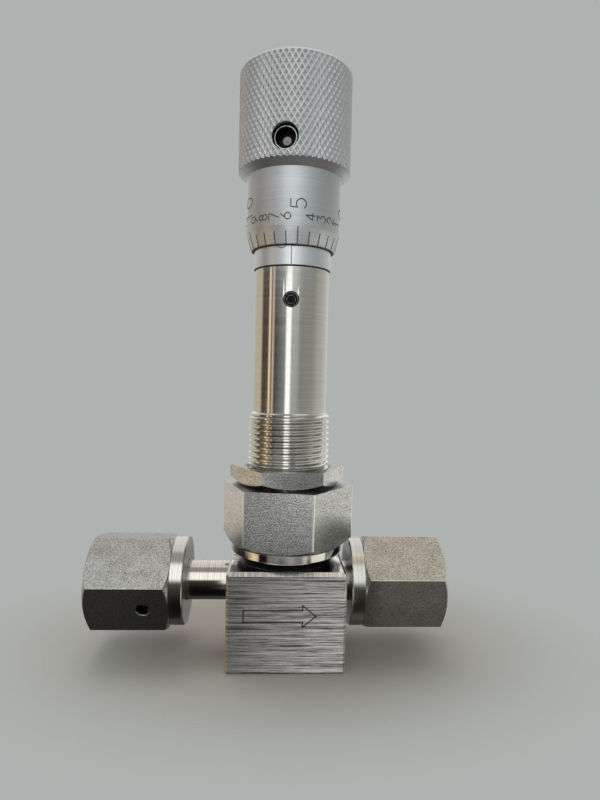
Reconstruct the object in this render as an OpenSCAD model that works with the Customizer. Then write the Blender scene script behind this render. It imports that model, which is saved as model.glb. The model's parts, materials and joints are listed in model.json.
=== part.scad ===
// Bellows-sealed metering valve with a vernier handle, millimetres.
// The origin is the centre of the body's bottom face. +Z runs up the stem,
// flow runs along X from the inlet on -X to the outlet on +X, and -Y is the front.

/* [Body block] */
// Width of the body block along the flow
body_w = 25.2; // [24.5:0.1:30]
// Depth of the body block, front to back
body_d = 22.2; // [22.1:0.1:28]
// Height of the body block
body_h = 21.5; // [20.5:0.1:26]
// Depth of the flow axis below the top of the block
flow_drop = 5.5; // [4.8:0.1:6.5]
// Chamfer on the upright edges of the block
body_edge = 0.5; // [0.2:0.1:1]
// Chamfer on the top edges of the block
body_top_edge = 0.7; // [0.3:0.1:1]
// Chamfer on the bottom edges of the block
body_base_edge = 0.3; // [0.1:0.1:0.8]

/* [Body neck] */
// Outside diameter of the neck thread that takes the bonnet nut
neck_d = 22.0; // [21:0.1:22]
// Height of the neck above the block
neck_h = 11.1; // [9.5:0.1:14]
// Height of the thread relief at the foot of the neck
neck_relief_h = 2.1; // [1:0.1:3]
// Radial depth of the thread relief
neck_relief = 0.8; // [0.3:0.1:1]
// Chamfer at the top of the neck thread
neck_edge = 0.6; // [0.2:0.1:1]
// Diameter of the chamber in the neck, above the seat well
chamber_d = 13.6; // [12:0.1:14]
// Depth of that chamber below the top of the neck
chamber_depth = 12.1; // [6:0.1:12.5]

/* [Flow path] */
// Diameter of the well that the stem tip works in
well_d = 8.4; // [7:0.1:8.6]
// Depth of the seat, at the floor of the well, below the flow axis
seat_drop = 4.5; // [4.1:0.1:5]
// Diameter of the metering orifice below the seat
orifice_d = 3.2; // [2.5:0.1:3.6]
// Depth of the orifice drilling below the seat
orifice_len = 7.5; // [6.5:0.1:8]
// Diameter of the inlet and outlet bores
port_d = 4.0; // [3:0.1:4.2]
// Diameter of the slanting passage from the inlet bore to the orifice
passage_d = 2.4; // [1.6:0.1:2.6]
// Depth of the straight part of the inlet bore
inlet_bore_depth = 2.9; // [2.4:0.1:3.4]

/* [Glands] */
// Diameter of each gland neck
gland_d = 8.66; // [8:0.01:9.2]
// Length of the neck from the body to the back of the gland head
gland_reach = 13.9; // [13:0.1:18]
// Diameter of the gland head
gland_head_d = 12.4; // [11:0.1:12.6]
// Length of the gland head up to its face
gland_head_len = 4.4; // [3.5:0.1:4.6]
// Height of the sealing bead on the gland face
bead_h = 0.35; // [0.2:0.05:0.4]
// Diameter of the sealing bead
bead_d = 8.4; // [7:0.1:9]
// Diameter of the spigot welded into the body
spigot_d = 6.6; // [6:0.1:7]
// Length of that spigot
spigot_len = 1.5; // [1:0.1:1.8]

/* [End nuts] */
// Width across the flats of the end nuts
nut_af = 19.05; // [18:0.01:20]
// Overall length of an end nut
nut_len = 20.6; // [20:0.1:24]
// Diameter of the round collar of an end nut
nut_collar_d = 19.3; // [18:0.1:19.6]
// Length of the round collar
nut_collar_len = 2.8; // [2:0.1:3.5]
// Length from the collar end to the inside shoulder
nut_back = 4.6; // [4:0.1:5.5]
// Minor diameter of the nut thread
nut_thread_d = 12.9; // [12.8:0.05:13.5]
// Depth of the thread from the mouth of the nut
nut_thread_len = 10.3; // [8:0.1:10.4]
// Diameter of the relief behind the thread
nut_relief_d = 14.6; // [14:0.1:15.5]
// Chamfer at the mouth of the thread
nut_mouth_edge = 0.8; // [0.3:0.1:1.2]
// Chamfer angle on the corners of the end nuts
nut_chamfer = 32; // [20:1:40]
// Diameter of the leak test ports
test_port_d = 2.8; // [1.5:0.1:3.5]
// Distance of the leak test ports from the collar end
test_port_at = 8.2; // [7.6:0.1:9]
// Turn of the inlet nut about the flow axis
inlet_nut_turn = 9.8; // [0:0.1:60]
// Turn of the outlet nut about the flow axis
outlet_nut_turn = 19.8; // [0:0.1:60]
// How far the outlet nut is pushed back towards the body
outlet_nut_back = 7.86; // [0:0.01:8]

/* [Bonnet nut] */
// Width across the flats of the bonnet nut
union_af = 25.4; // [24.6:0.1:28]
// Height of the bonnet nut
union_h = 14.95; // [13.5:0.05:15.5]
// Diameter of the round collar at its foot
union_collar_d = 24.58; // [23.8:0.01:25]
// Height of that collar
union_collar_h = 1.85; // [1:0.05:3]
// Thickness of the lip that holds the bonnet flange
union_lip = 2.1; // [1.5:0.1:3]
// Chamfer angle on the lower corners
union_chamfer = 30; // [15:1:40]
// Turn of the bonnet nut about the stem axis
union_turn = -9.9; // [-30:0.1:30]

/* [Bonnet] */
// Diameter of the bonnet flange
flange_d = 21.6; // [20.6:0.1:21.8]
// Thickness of the bonnet flange
flange_t = 1.85; // [1.2:0.05:3]
// Outside diameter of the panel thread
panel_thread_d = 18.15; // [17.4:0.05:18.4]
// Height of the top of the panel thread above the bonnet base
panel_thread_top = 19.85; // [18:0.05:24]
// Height of the chamfer at the top of the panel thread
panel_thread_lead = 0.7; // [0.4:0.1:1.2]
// Diameter of the smooth barrel
barrel_d = 16.29; // [15.8:0.01:17]
// Height of the barrel top above the bonnet base
barrel_top = 50.9; // [50:0.1:56]
// Diameter of the bellows bore
bellows_bore_d = 13.6; // [12.8:0.1:13.8]
// Bore of the short land between the guide and the sleeve socket
land_bore_d = 11.2; // [10.2:0.1:12]
// Height of that land
land_h = 3.0; // [2:0.1:4]

/* [Panel nut] */
// Width across the flats of the panel nut
panel_af = 22.25; // [21:0.05:24]
// Thickness of the panel nut
panel_t = 3.5; // [3:0.1:5]
// Gap between the panel nut and the bonnet nut
panel_gap = 0.45; // [0.2:0.05:2]
// Depth of the countersink at each end of its thread
panel_sink = 0.5; // [0.2:0.1:0.8]
// Turn of the panel nut about the stem axis
panel_turn = 3.45; // [-30:0.05:30]

/* [Index sleeve] */
// Diameter of the graduated sleeve
sleeve_d = 16.87; // [16.4:0.01:17.2]
// Height of the graduated sleeve above the barrel
sleeve_h = 12.2; // [11:0.1:13]
// Diameter of the shank that plugs into the barrel
shank_d = 13.1; // [12.6:0.1:13.4]
// Length of that shank
shank_len = 11.4; // [10:0.1:12]
// Bore of the hollow part of the shank
shank_bore_d = 10.2; // [9.8:0.1:10.6]
// Height of the sleeve screw below the barrel top
sleeve_screw_drop = 7.1; // [3:0.1:9]
// Diameter of the sleeve screw
sleeve_screw_d = 3.4; // [2.5:0.1:4]
// Direction of the sleeve screw from the front
sleeve_screw_turn = -2.6; // [-20:0.1:20]

/* [Spindle nut] */
// Outside diameter of the spindle nut
spindle_nut_d = 11.2; // [10.8:0.1:12]
// Height of the spindle nut
spindle_nut_h = 15.0; // [10:0.1:16]

/* [Vernier handle] */
// Diameter of the thimble
thimble_d = 20.63; // [20:0.01:21.2]
// Diameter of the thimble at its lower edge
thimble_tip_d = 18.31; // [18:0.01:18.8]
// Height of the tapered graduated band
taper_h = 3.83; // [2.5:0.01:5]
// Height of the thimble from its lower edge to the knob
thimble_h = 15.4; // [13:0.1:18]
// Height of the cone under the knob
knob_cone_h = 1.4; // [1:0.05:2.5]
// Diameter of the knurled knob
knob_d = 24.58; // [23:0.01:27]
// Height of the knurled knob above the cone
knob_h = 21.1; // [18:0.1:24]
// Chamfer on the top rim of the knob
knob_edge = 0.8; // [0.3:0.1:1.5]
// Height of the thimble edge above the barrel top when the valve is shut
thimble_rise = 3.84; // [3:0.01:4.5]
// Diameter of the hole for the handle screw
handle_hole_d = 5.5; // [4.8:0.1:6]
// Height of the handle screw above the thimble edge
handle_screw_h = 20.6; // [18.5:0.1:30]
// Direction of the handle screw from the front
handle_screw_turn = -11.5; // [-30:0.1:30]
// Diameter of the handle screw
handle_screw_d = 4.6; // [4:0.1:4.8]
// Length of the handle screw
handle_screw_len = 8.0; // [5:0.1:8.6]

/* [Spindle] */
// Diameter of the spindle
spindle_d = 6.0; // [5.4:0.1:6.2]
// Length of the spindle inside the knob
spindle_grip = 22.3; // [14:0.1:24]
// Diameter of the shoulder under the knob
spindle_shoulder_d = 9.0; // [8:0.1:12]
// Thickness of that shoulder
spindle_shoulder_t = 1.2; // [0.6:0.1:2]
// Diameter of the waist above the button
waist_d = 4.8; // [3.6:0.1:5]
// Diameter of the button at the spindle foot
button_d = 6.4; // [5.6:0.1:6.6]
// Thickness of the button
button_t = 1.8; // [1.2:0.1:2]

/* [Thrust coupling] */
// Outside diameter of the coupling cup
cup_d = 9.6; // [9:0.1:9.8]
// Height of the stem end above the foot of the cup
cup_grip = 1.2; // [0.8:0.1:2]
// Height of the cup rim above the thrust ring
cup_rim = 0.5; // [0.2:0.1:1]
// Thickness of the thrust ring
thrust_ring_t = 1.4; // [0.8:0.1:2]
// Diameter of the thrust ball
ball_d = 3.0; // [2.4:0.1:3.4]
// Depth of the ball in the end of the stem
ball_sink = 1.0; // [0.6:0.1:1.2]

/* [Stem] */
// Diameter of the stem inside the bellows
stem_d = 4.4; // [3.6:0.1:5]
// Diameter of the stem in its guide
guide_stem_d = 5.6; // [5:0.1:6]
// Width of the slot that stops the stem turning
slot_w = 1.7; // [1.2:0.1:2.2]
// Length of the anti-rotation pin
pin_len = 10.0; // [8:0.1:10.6]
// Height of the pin above the foot of the guide when the valve is shut
pin_rise = 1.15; // [0.9:0.05:1.6]
// Half angle of the metering taper
needle_angle = 4; // [2:0.5:8]
// Length of the taper below the seat edge when the valve is shut
needle_below = 3.6; // [2.4:0.1:4.2]
// Length of the taper above the seat edge
needle_above = 2.4; // [1.6:0.1:2.8]
// Thickness of the shoulder of the tip under the stem
tip_shoulder = 1.1; // [0.6:0.1:1.6]
// Diameter of the plug of the tip inside the stem
tip_plug_d = 2.2; // [1.4:0.1:2.6]
// Length of that plug
tip_plug_len = 3.3; // [2:0.1:5]

/* [Bellows] */
// Outside diameter of the bellows
bellows_d = 11.6; // [10:0.1:12.2]
// Inside diameter of the bellows
bellows_id = 7.4; // [6.6:0.1:8]
// Number of convolutions
convolutions = 12; // [6:1:16]
// Wall of the bellows
bellows_wall = 0.25; // [0.15:0.05:0.35]
// Thickness of the weld ring under the bonnet
weld_ring_t = 1.4; // [1:0.1:2]
// Height of the weld lip that the bellows stands on
weld_lip_h = 1.1; // [0.6:0.1:1.6]
// Thickness of the cap welded to the stem
cap_t = 2.0; // [1:0.1:2.5]
// Height of the cap above the bonnet base when the valve is shut
cap_rise = 16.0; // [14:0.1:17]
// Thickness of the body gasket
gasket_t = 0.5; // [0.3:0.1:1]
// Inside diameter of the body gasket
gasket_id = 14.1; // [13.8:0.1:15]
// Radial width of the body gasket
gasket_w = 2.2; // [1:0.1:2.8]

/* [Travel] */
// Lift of the stem for one turn of the handle
lead = 0.635; // [0.5:0.005:0.635]
// Turns from shut to full open
turns = 10; // [5:1:10]
// Divisions round the thimble
divisions = 25; // [20:5:25]
// Division that stands at the index line in this pose
rest_division = 5.5; // [0:0.5:20]

/* [Clearances] */
// Radial clearance of screw threads shown as plain cylinders
thread_gap = 0.06; // [0.03:0.01:0.1]
// Radial clearance of turning and sliding fits
run_gap = 0.05; // [0.02:0.01:0.09]
// Radial clearance of an end nut on its gland neck
nut_gap = 0.15; // [0.1:0.05:0.3]
// Clearance between faces that stop each other
stop_gap = 0.05; // [0.02:0.01:0.1]
// Clearance left at the end of the stem's travel
end_gap = 0.25; // [0.1:0.05:0.5]
// Radial clearance between the thimble and the index sleeve
sleeve_gap = 0.2; // [0.1:0.05:0.25]
// Radial clearance of the bonnet nut round the panel thread
lip_gap = 0.18; // [0.1:0.02:0.3]
// Radial clearance of the spindle button in the coupling cup
button_gap = 0.3; // [0.1:0.05:0.4]
// Clearance of the thrust ring round the waist and of the pin in the length of its slot
loose_gap = 0.1; // [0.05:0.05:0.2]

/* [Hidden] */
$fn = 96;

steel = [0.72, 0.72, 0.70];
bright_steel = [0.80, 0.80, 0.78];
alloy = [0.66, 0.68, 0.71];
bronze = [0.70, 0.55, 0.32];
black_oxide = [0.09, 0.09, 0.10];
silver_plate = [0.86, 0.86, 0.84];

// How far a cutter runs past the face that it cuts
cut = 0.5;
// Chamfer on edges that are only broken
small_edge = 0.25;
// Straight pieces in each half round of the bellows
fold_steps = 4;
travel = lead * turns;
lift = lead * rest_division / divisions;

flow_h = body_h - flow_drop;
seat_h = flow_h - seat_drop;
orifice_foot = seat_h - orifice_len;
neck_top = body_h + neck_h;
ring_z = neck_top + gasket_t;
bonnet_z = ring_z + weld_ring_t;
flange_top = bonnet_z + flange_t;
union_top = flange_top + union_lip;
union_foot = union_top - union_h;
union_bore_d = neck_d + 2 * thread_gap;
union_hole_d = panel_thread_d + 2 * lip_gap;
thread_top_z = bonnet_z + panel_thread_top;
barrel_z = bonnet_z + barrel_top;
panel_z = union_top + panel_gap;

bellows_z = bonnet_z + weld_lip_h;
cap_z = bonnet_z + cap_rise + lift;
pin_d = slot_w - 2 * run_gap;
guide_z = bonnet_z + cap_rise + cap_t + travel + end_gap;
guide_top = guide_z + pin_rise + travel + pin_d / 2 + end_gap;
pin_z = guide_z + pin_rise + lift;

cup_z = guide_top + end_gap + lift;
stem_top = cup_z + cup_grip;
ball_z = stem_top - ball_sink + ball_d / 2;
button_z = ball_z + ball_d / 2 + stop_gap;
ring_seat_z = button_z + button_t + stop_gap;
spindle_foot = ring_seat_z + thrust_ring_t + stop_gap;
cup_top = ring_seat_z + thrust_ring_t + cup_rim;
cup_bore_d = button_d + 2 * button_gap;
nut_seat_z = cup_top - lift + travel + end_gap;

edge_z = barrel_z + thimble_rise + lift;
hub_z = barrel_z + sleeve_h + end_gap + spindle_shoulder_t + lift;
knob_z = edge_z + thimble_h + knob_cone_h;
knob_top = knob_z + knob_h;
screw_z = edge_z + handle_screw_h;

nut_pulled = gland_reach - nut_back - stop_gap;
tip_z = seat_h + lift;
tip_r = (orifice_d - stop_gap) / 2;
tip_shoulder_z = tip_z + needle_above;
stem_foot = tip_shoulder_z + tip_shoulder;

// A solid turned about Z from half-profile points of [radius, height].
module turned(points) {
    rotate_extrude() polygon(points);
}

// A hexagonal prism about Z with one corner along +X, by its width across flats.
module hexagon(across_flats, height) {
    cylinder(r = across_flats / sqrt(3), h = height, $fn = 6);
}

// A hole or a screw that points out of the front at a turn about Z.
module radial(turn, height) {
    translate([0, 0, height]) rotate([0, 0, turn]) rotate([90, 0, 0]) children();
}

// Puts a piece made along +Z on the flow axis, with its foot on the body's inlet or outlet side.
module on_port(side) {
    translate([side * body_w / 2, 0, flow_h]) rotate([0, side * 90, 0]) children();
}

// A block with chamfered upright, top and bottom edges, standing on z = 0.
module block_outline() {
    w = body_w / 2;
    d = body_d / 2;
    e = body_edge;
    t = body_top_edge;
    b = body_base_edge;
    intersection() {
        linear_extrude(body_h) polygon([[-w + e, -d], [w - e, -d], [w, -d + e], [w, d - e],
            [w - e, d], [-w + e, d], [-w, d - e], [-w, -d + e]]);
        rotate([90, 0, 0]) linear_extrude(body_d + 2 * cut, center = true) polygon([[-w + b, 0], [w - b, 0],
            [w, b], [w, body_h - t], [w - t, body_h], [-w + t, body_h], [-w, body_h - t], [-w, b]]);
        rotate([90, 0, 90]) linear_extrude(body_w + 2 * cut, center = true) polygon([[-d + b, 0], [d - b, 0],
            [d, b], [d, body_h - t], [d - t, body_h], [-d + t, body_h], [-d, body_h - t], [-d, b]]);
    }
}

// The neck that carries the bonnet nut, with a relief groove at its foot.
module neck_outline() {
    r = neck_d / 2;
    relief_r = r - neck_relief;
    turned([[0, body_h - cut], [relief_r, body_h - cut], [relief_r, body_h + neck_relief_h],
        [r, body_h + neck_relief_h + neck_relief], [r, neck_top - neck_edge], [r - neck_edge, neck_top],
        [0, neck_top]]);
}

// The slanting drilling from the end of the inlet bore down to the foot of the orifice.
module slant_passage() {
    from_x = -body_w / 2 + inlet_bore_depth / 2;
    run = -from_x;
    fall = flow_h - orifice_foot - orifice_d / 4;
    translate([from_x, 0, flow_h]) rotate([0, 90 + atan2(fall, run), 0])
        cylinder(d = passage_d, h = norm([run, fall]));
}

module valve_body() {
    color(steel) difference() {
        union() {
            block_outline();
            neck_outline();
        }
        translate([0, 0, neck_top - chamber_depth]) cylinder(d = chamber_d, h = chamber_depth + cut);
        translate([0, 0, seat_h]) cylinder(d = well_d, h = body_h - seat_h);
        translate([0, 0, orifice_foot]) cylinder(d = orifice_d, h = seat_h - orifice_foot + cut);
        for (side = [-1, 1]) on_port(side)
            translate([0, 0, -spigot_len]) cylinder(d = spigot_d, h = spigot_len + cut);
        on_port(1) translate([0, 0, -body_w / 2]) cylinder(d = port_d, h = body_w / 2 + cut);
        on_port(-1) translate([0, 0, -inlet_bore_depth]) cylinder(d = port_d, h = inlet_bore_depth + cut);
        slant_passage();
    }
}

// A gland with its welded spigot, neck, head and raised sealing bead, standing on the body side.
module gland() {
    neck_r = gland_d / 2;
    head_r = gland_head_d / 2;
    face = gland_reach + gland_head_len;
    difference() {
        union() {
            turned([[0, -spigot_len], [spigot_d / 2, -spigot_len], [spigot_d / 2, 0], [neck_r, 0],
                [neck_r, gland_reach], [head_r - small_edge, gland_reach], [head_r, gland_reach + small_edge],
                [head_r, face - small_edge], [head_r - small_edge, face], [0, face]]);
            rotate_extrude() translate([bead_d / 2, face]) circle(r = bead_h);
        }
        translate([0, 0, -spigot_len - cut]) cylinder(d = port_d, h = face + spigot_len + bead_h + 2 * cut);
    }
}

module inlet_gland() {
    color(bright_steel) on_port(-1) gland();
}

module outlet_gland() {
    color(bright_steel) on_port(1) gland();
}

// An end nut along +Z with its collar end at z = 0 and the leak test ports in its flats on -Y and +Y.
module end_nut() {
    outer_r = nut_af / sqrt(3) + cut;
    collar_r = nut_collar_d / 2;
    foot_z = nut_collar_len - cut;
    foot_r = collar_r - small_edge - cut / tan(nut_chamfer);
    rise = (outer_r - foot_r) * tan(nut_chamfer);
    mouth_r = nut_af / 2 - small_edge;
    mouth_rise = (outer_r - mouth_r) * tan(nut_chamfer);
    thread_r = nut_thread_d / 2;
    difference() {
        union() {
            turned([[0, 0], [collar_r - small_edge, 0], [collar_r, small_edge], [collar_r, nut_collar_len],
                [0, nut_collar_len]]);
            intersection() {
                hexagon(nut_af, nut_len + cut);
                turned([[0, foot_z], [foot_r, foot_z], [outer_r, foot_z + rise],
                    [outer_r, nut_len - mouth_rise], [mouth_r, nut_len], [0, nut_len]]);
            }
        }
        translate([0, 0, -cut]) cylinder(d = gland_d + 2 * nut_gap, h = nut_back + 2 * cut);
        translate([0, 0, nut_back]) cylinder(d = nut_relief_d, h = nut_len - nut_back - nut_thread_len);
        translate([0, 0, nut_back]) cylinder(d = nut_thread_d, h = nut_len - nut_back + cut);
        turned([[0, nut_len - nut_mouth_edge], [thread_r, nut_len - nut_mouth_edge],
            [thread_r + nut_mouth_edge + cut, nut_len + cut], [0, nut_len + cut]]);
        for (turn = [0, 180]) rotate([0, 0, turn]) translate([0, 0, test_port_at])
            rotate([90, 0, 0]) cylinder(d = test_port_d, h = nut_af);
    }
}

module inlet_nut() {
    color(steel) on_port(-1) translate([0, 0, nut_pulled]) rotate([0, 0, inlet_nut_turn - 30]) end_nut();
}

module outlet_nut() {
    color(steel) on_port(1) translate([0, 0, nut_pulled - outlet_nut_back])
        rotate([0, 0, -90 - outlet_nut_turn]) end_nut();
}

module body_gasket() {
    color(silver_plate) difference() {
        translate([0, 0, neck_top]) cylinder(d = gasket_id + 2 * gasket_w, h = gasket_t);
        translate([0, 0, neck_top - cut]) cylinder(d = gasket_id, h = gasket_t + 2 * cut);
    }
}

// The ring clamped between gasket and bonnet, with a thin lip that the bellows is welded to.
module weld_ring() {
    lip_r = (bellows_id + bellows_d) / 4;
    color(bright_steel) difference() {
        turned([[0, ring_z], [neck_d / 2 - neck_edge, ring_z], [neck_d / 2 - neck_edge, bonnet_z],
            [lip_r, bonnet_z], [lip_r, bellows_z], [0, bellows_z]]);
        translate([0, 0, ring_z - cut]) cylinder(d = bellows_id, h = weld_ring_t + weld_lip_h + 2 * cut);
    }
}

// Points of an arc about [x, z] that bulges towards the axis (side -1) or away from it (side 1).
function fold(x, z, r, side, from, to) = [for (k = [0 : fold_steps])
    let (a = from + k * (to - from) / fold_steps) [x + side * r * cos(a), z + r * sin(a)]];

// Half-profile points of one face of the bellows wall, half_wall outside its middle line:
// round roots and crests joined by flat flanks, with half a root at each end.
function bellows_face(half_wall, pitch) = let (
    bend = pitch / 4,
    root_x = bellows_id / 2 + bend + bellows_wall / 2,
    crest_x = bellows_d / 2 - bend - bellows_wall / 2,
    last = convolutions - 1
) concat(
    fold(root_x, bellows_z, bend - half_wall, -1, 0, 90),
    [for (i = [0 : last]) each concat(
        fold(crest_x, bellows_z + (i + 0.5) * pitch, bend + half_wall, 1, -90, 90),
        fold(root_x, bellows_z + (i + 1) * pitch, bend - half_wall, -1, -90, i < last ? 90 : 0))]);

// The formed bellows, a thin folded wall from the weld ring's lip up to the cap.
module bellows() {
    pitch = (cap_z - bellows_z) / convolutions;
    inner = bellows_face(-bellows_wall / 2, pitch);
    outer = bellows_face(bellows_wall / 2, pitch);
    last = len(outer) - 1;
    color(bright_steel) turned(concat(inner, [for (i = [0 : last]) outer[last - i]]));
}

module bonnet() {
    thread_r = panel_thread_d / 2;
    barrel_r = barrel_d / 2;
    color(bright_steel) difference() {
        turned([[0, bonnet_z], [flange_d / 2, bonnet_z], [flange_d / 2, flange_top], [thread_r, flange_top],
            [thread_r, thread_top_z - panel_thread_lead], [barrel_r, thread_top_z],
            [barrel_r, barrel_z - small_edge], [barrel_r - small_edge, barrel_z], [0, barrel_z]]);
        translate([0, 0, bonnet_z - cut]) cylinder(d = bellows_bore_d, h = guide_top - bonnet_z + cut);
        translate([0, 0, guide_top - cut]) cylinder(d = land_bore_d, h = land_h + 2 * cut);
        translate([0, 0, guide_top + land_h]) cylinder(d = shank_d, h = barrel_z - guide_top);
        radial(sleeve_screw_turn, barrel_z - sleeve_screw_drop) cylinder(d = sleeve_screw_d, h = barrel_d);
    }
}

module bonnet_nut() {
    collar_r = union_collar_d / 2;
    outer_r = union_af / sqrt(3) + cut;
    hex_z = union_foot + union_collar_h;
    foot_z = hex_z - cut;
    foot_r = collar_r - small_edge - cut / tan(union_chamfer);
    rise = (outer_r - foot_r) * tan(union_chamfer);
    color(steel) difference() {
        union() {
            turned([[0, union_foot], [collar_r - small_edge, union_foot], [collar_r, union_foot + small_edge],
                [collar_r, hex_z], [0, hex_z]]);
            intersection() {
                translate([0, 0, union_foot]) rotate([0, 0, union_turn]) hexagon(union_af, union_h + cut);
                turned([[0, foot_z], [foot_r, foot_z], [outer_r, foot_z + rise], [outer_r, union_top],
                    [0, union_top]]);
            }
        }
        translate([0, 0, union_foot - cut]) cylinder(d = union_bore_d, h = flange_top - union_foot + cut);
        translate([0, 0, flange_top - cut]) cylinder(d = union_hole_d, h = union_lip + 2 * cut);
    }
}

// The bush that guides the stem, slotted so that the cross pin can't turn in it.
module stem_guide() {
    height = guide_top - guide_z;
    color(bronze) difference() {
        translate([0, 0, guide_z]) cylinder(d = bellows_bore_d, h = height);
        translate([0, 0, guide_z - cut]) cylinder(d = guide_stem_d + 2 * run_gap, h = height + 2 * cut);
        translate([0, 0, guide_z + height / 2])
            cube([pin_len + 2 * loose_gap, slot_w, height + 2 * cut], center = true);
    }
}

module index_sleeve() {
    color(alloy) difference() {
        turned([[0, barrel_z - shank_len], [shank_d / 2 - small_edge, barrel_z - shank_len],
            [shank_d / 2, barrel_z - shank_len + small_edge], [shank_d / 2, barrel_z],
            [sleeve_d / 2, barrel_z], [sleeve_d / 2, barrel_z + sleeve_h - small_edge],
            [sleeve_d / 2 - small_edge, barrel_z + sleeve_h], [0, barrel_z + sleeve_h]]);
        translate([0, 0, barrel_z - shank_len - cut]) cylinder(d = shank_bore_d, h = shank_len + cut);
        translate([0, 0, nut_seat_z]) cylinder(d = spindle_nut_d, h = barrel_z + sleeve_h - nut_seat_z + cut);
    }
}

module spindle_nut() {
    color(bronze) difference() {
        translate([0, 0, nut_seat_z]) cylinder(d = spindle_nut_d, h = spindle_nut_h);
        translate([0, 0, nut_seat_z - cut])
            cylinder(d = spindle_d + 2 * thread_gap, h = spindle_nut_h + 2 * cut);
    }
}

// A cup-point set screw along +Z with its point at z = 0 and a hexagon socket in its outer end.
module set_screw(diameter, length) {
    r = diameter / 2;
    point_r = 0.6 * r;
    edge = 0.15 * r;
    key_af = 0.5 * diameter;
    key_depth = min(0.5 * length, 1.2 * r);
    difference() {
        turned([[0, 0], [point_r, 0], [r, r - point_r], [r, length - edge], [r - edge, length], [0, length]]);
        translate([0, 0, length - key_depth]) hexagon(key_af, length);
    }
}

module sleeve_screw() {
    color(black_oxide) radial(sleeve_screw_turn, barrel_z - sleeve_screw_drop) translate([0, 0, shank_d / 2])
        set_screw(sleeve_screw_d, (barrel_d - shank_d) / 2 - small_edge);
}

module panel_nut() {
    outer_r = panel_af / sqrt(3) + cut;
    flat_r = panel_af / 2;
    chamfer = (outer_r - flat_r) * tan(union_chamfer);
    bore_r = panel_thread_d / 2 + thread_gap;
    sink_r = bore_r + panel_sink + cut;
    top_z = panel_z + panel_t;
    color(steel) difference() {
        intersection() {
            translate([0, 0, panel_z]) rotate([0, 0, panel_turn]) hexagon(panel_af, panel_t);
            turned([[0, panel_z], [flat_r, panel_z], [outer_r, panel_z + chamfer], [outer_r, top_z],
                [0, top_z]]);
        }
        turned([[0, panel_z - cut], [sink_r, panel_z - cut], [bore_r, panel_z + panel_sink],
            [bore_r, top_z - panel_sink], [sink_r, top_z + cut], [0, top_z + cut]]);
    }
}

// The metering taper, with a shoulder and a pin that plugs into the stem.
module needle_tip() {
    point_z = tip_z - needle_below;
    point_r = tip_r - needle_below * tan(needle_angle);
    root_r = tip_r + needle_above * tan(needle_angle);
    plug_r = tip_plug_d / 2;
    plug_top = stem_foot + tip_plug_len;
    color(bright_steel) turned([[0, point_z], [point_r, point_z], [root_r, tip_shoulder_z],
        [stem_d / 2, tip_shoulder_z], [stem_d / 2, stem_foot], [plug_r, stem_foot], [plug_r, plug_top],
        [0, plug_top]]);
}

module stem() {
    cap_top = cap_z + cap_t;
    color(bright_steel) difference() {
        turned([[0, stem_foot], [stem_d / 2, stem_foot], [stem_d / 2, cap_top], [guide_stem_d / 2, cap_top],
            [guide_stem_d / 2, stem_top], [0, stem_top]]);
        translate([0, 0, stem_foot - cut]) cylinder(d = tip_plug_d, h = tip_plug_len + cut);
        translate([0, 0, pin_z]) rotate([0, 90, 0]) cylinder(d = pin_d, h = pin_len, center = true);
        translate([0, 0, ball_z - ball_d / 2]) cylinder(d = ball_d, h = ball_d);
    }
}

module bellows_cap() {
    color(bright_steel) difference() {
        translate([0, 0, cap_z]) cylinder(d = bellows_d - 2 * bellows_wall, h = cap_t);
        translate([0, 0, cap_z - cut]) cylinder(d = stem_d, h = cap_t + 2 * cut);
    }
}

module anti_rotation_pin() {
    color(bright_steel) translate([0, 0, pin_z]) rotate([0, 90, 0])
        cylinder(d = pin_d, h = pin_len, center = true);
}

// The cup screwed on the top of the stem, which holds the ball, the spindle button and the ring.
module coupling_cup() {
    color(bright_steel) difference() {
        translate([0, 0, cup_z]) cylinder(d = cup_d, h = cup_top - cup_z);
        translate([0, 0, cup_z - cut]) cylinder(d = guide_stem_d, h = cup_grip + 2 * cut);
        translate([0, 0, stem_top]) cylinder(d = cup_bore_d, h = cup_top - stem_top + cut);
    }
}

module thrust_ball() {
    color(bright_steel) translate([0, 0, ball_z]) sphere(d = ball_d);
}

// The ring over the button, so that the spindle can pull the stem up.
module thrust_ring() {
    color(bronze) difference() {
        translate([0, 0, ring_seat_z]) cylinder(d = cup_bore_d, h = thrust_ring_t);
        translate([0, 0, ring_seat_z - cut])
            cylinder(d = waist_d + 2 * loose_gap, h = thrust_ring_t + 2 * cut);
    }
}

module spindle() {
    r = spindle_d / 2;
    shoulder_z = hub_z - spindle_shoulder_t;
    color(bright_steel) turned([[0, button_z], [button_d / 2, button_z], [button_d / 2, button_z + button_t],
        [waist_d / 2, button_z + button_t], [waist_d / 2, spindle_foot], [r, spindle_foot], [r, shoulder_z],
        [spindle_shoulder_d / 2, shoulder_z], [spindle_shoulder_d / 2, hub_z], [r, hub_z],
        [r, hub_z + spindle_grip], [0, hub_z + spindle_grip]]);
}

// The knob and thimble in one piece, bored to clear the index sleeve.
module vernier_handle() {
    tip_edge = small_edge / 2;
    color(alloy) difference() {
        turned([[0, edge_z], [thimble_tip_d / 2 - tip_edge, edge_z], [thimble_tip_d / 2, edge_z + tip_edge],
            [thimble_d / 2, edge_z + taper_h], [thimble_d / 2, knob_z - knob_cone_h], [knob_d / 2, knob_z],
            [knob_d / 2, knob_top - knob_edge], [knob_d / 2 - knob_edge, knob_top], [0, knob_top]]);
        translate([0, 0, edge_z - cut]) cylinder(d = sleeve_d + 2 * sleeve_gap, h = hub_z - edge_z + cut);
        translate([0, 0, hub_z - cut]) cylinder(d = spindle_d, h = spindle_grip + cut);
        radial(handle_screw_turn, screw_z) cylinder(d = handle_screw_d, h = knob_d);
        radial(handle_screw_turn, screw_z)
            translate([0, 0, spindle_d / 2 + handle_screw_len]) cylinder(d = handle_hole_d, h = knob_d);
    }
}

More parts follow.
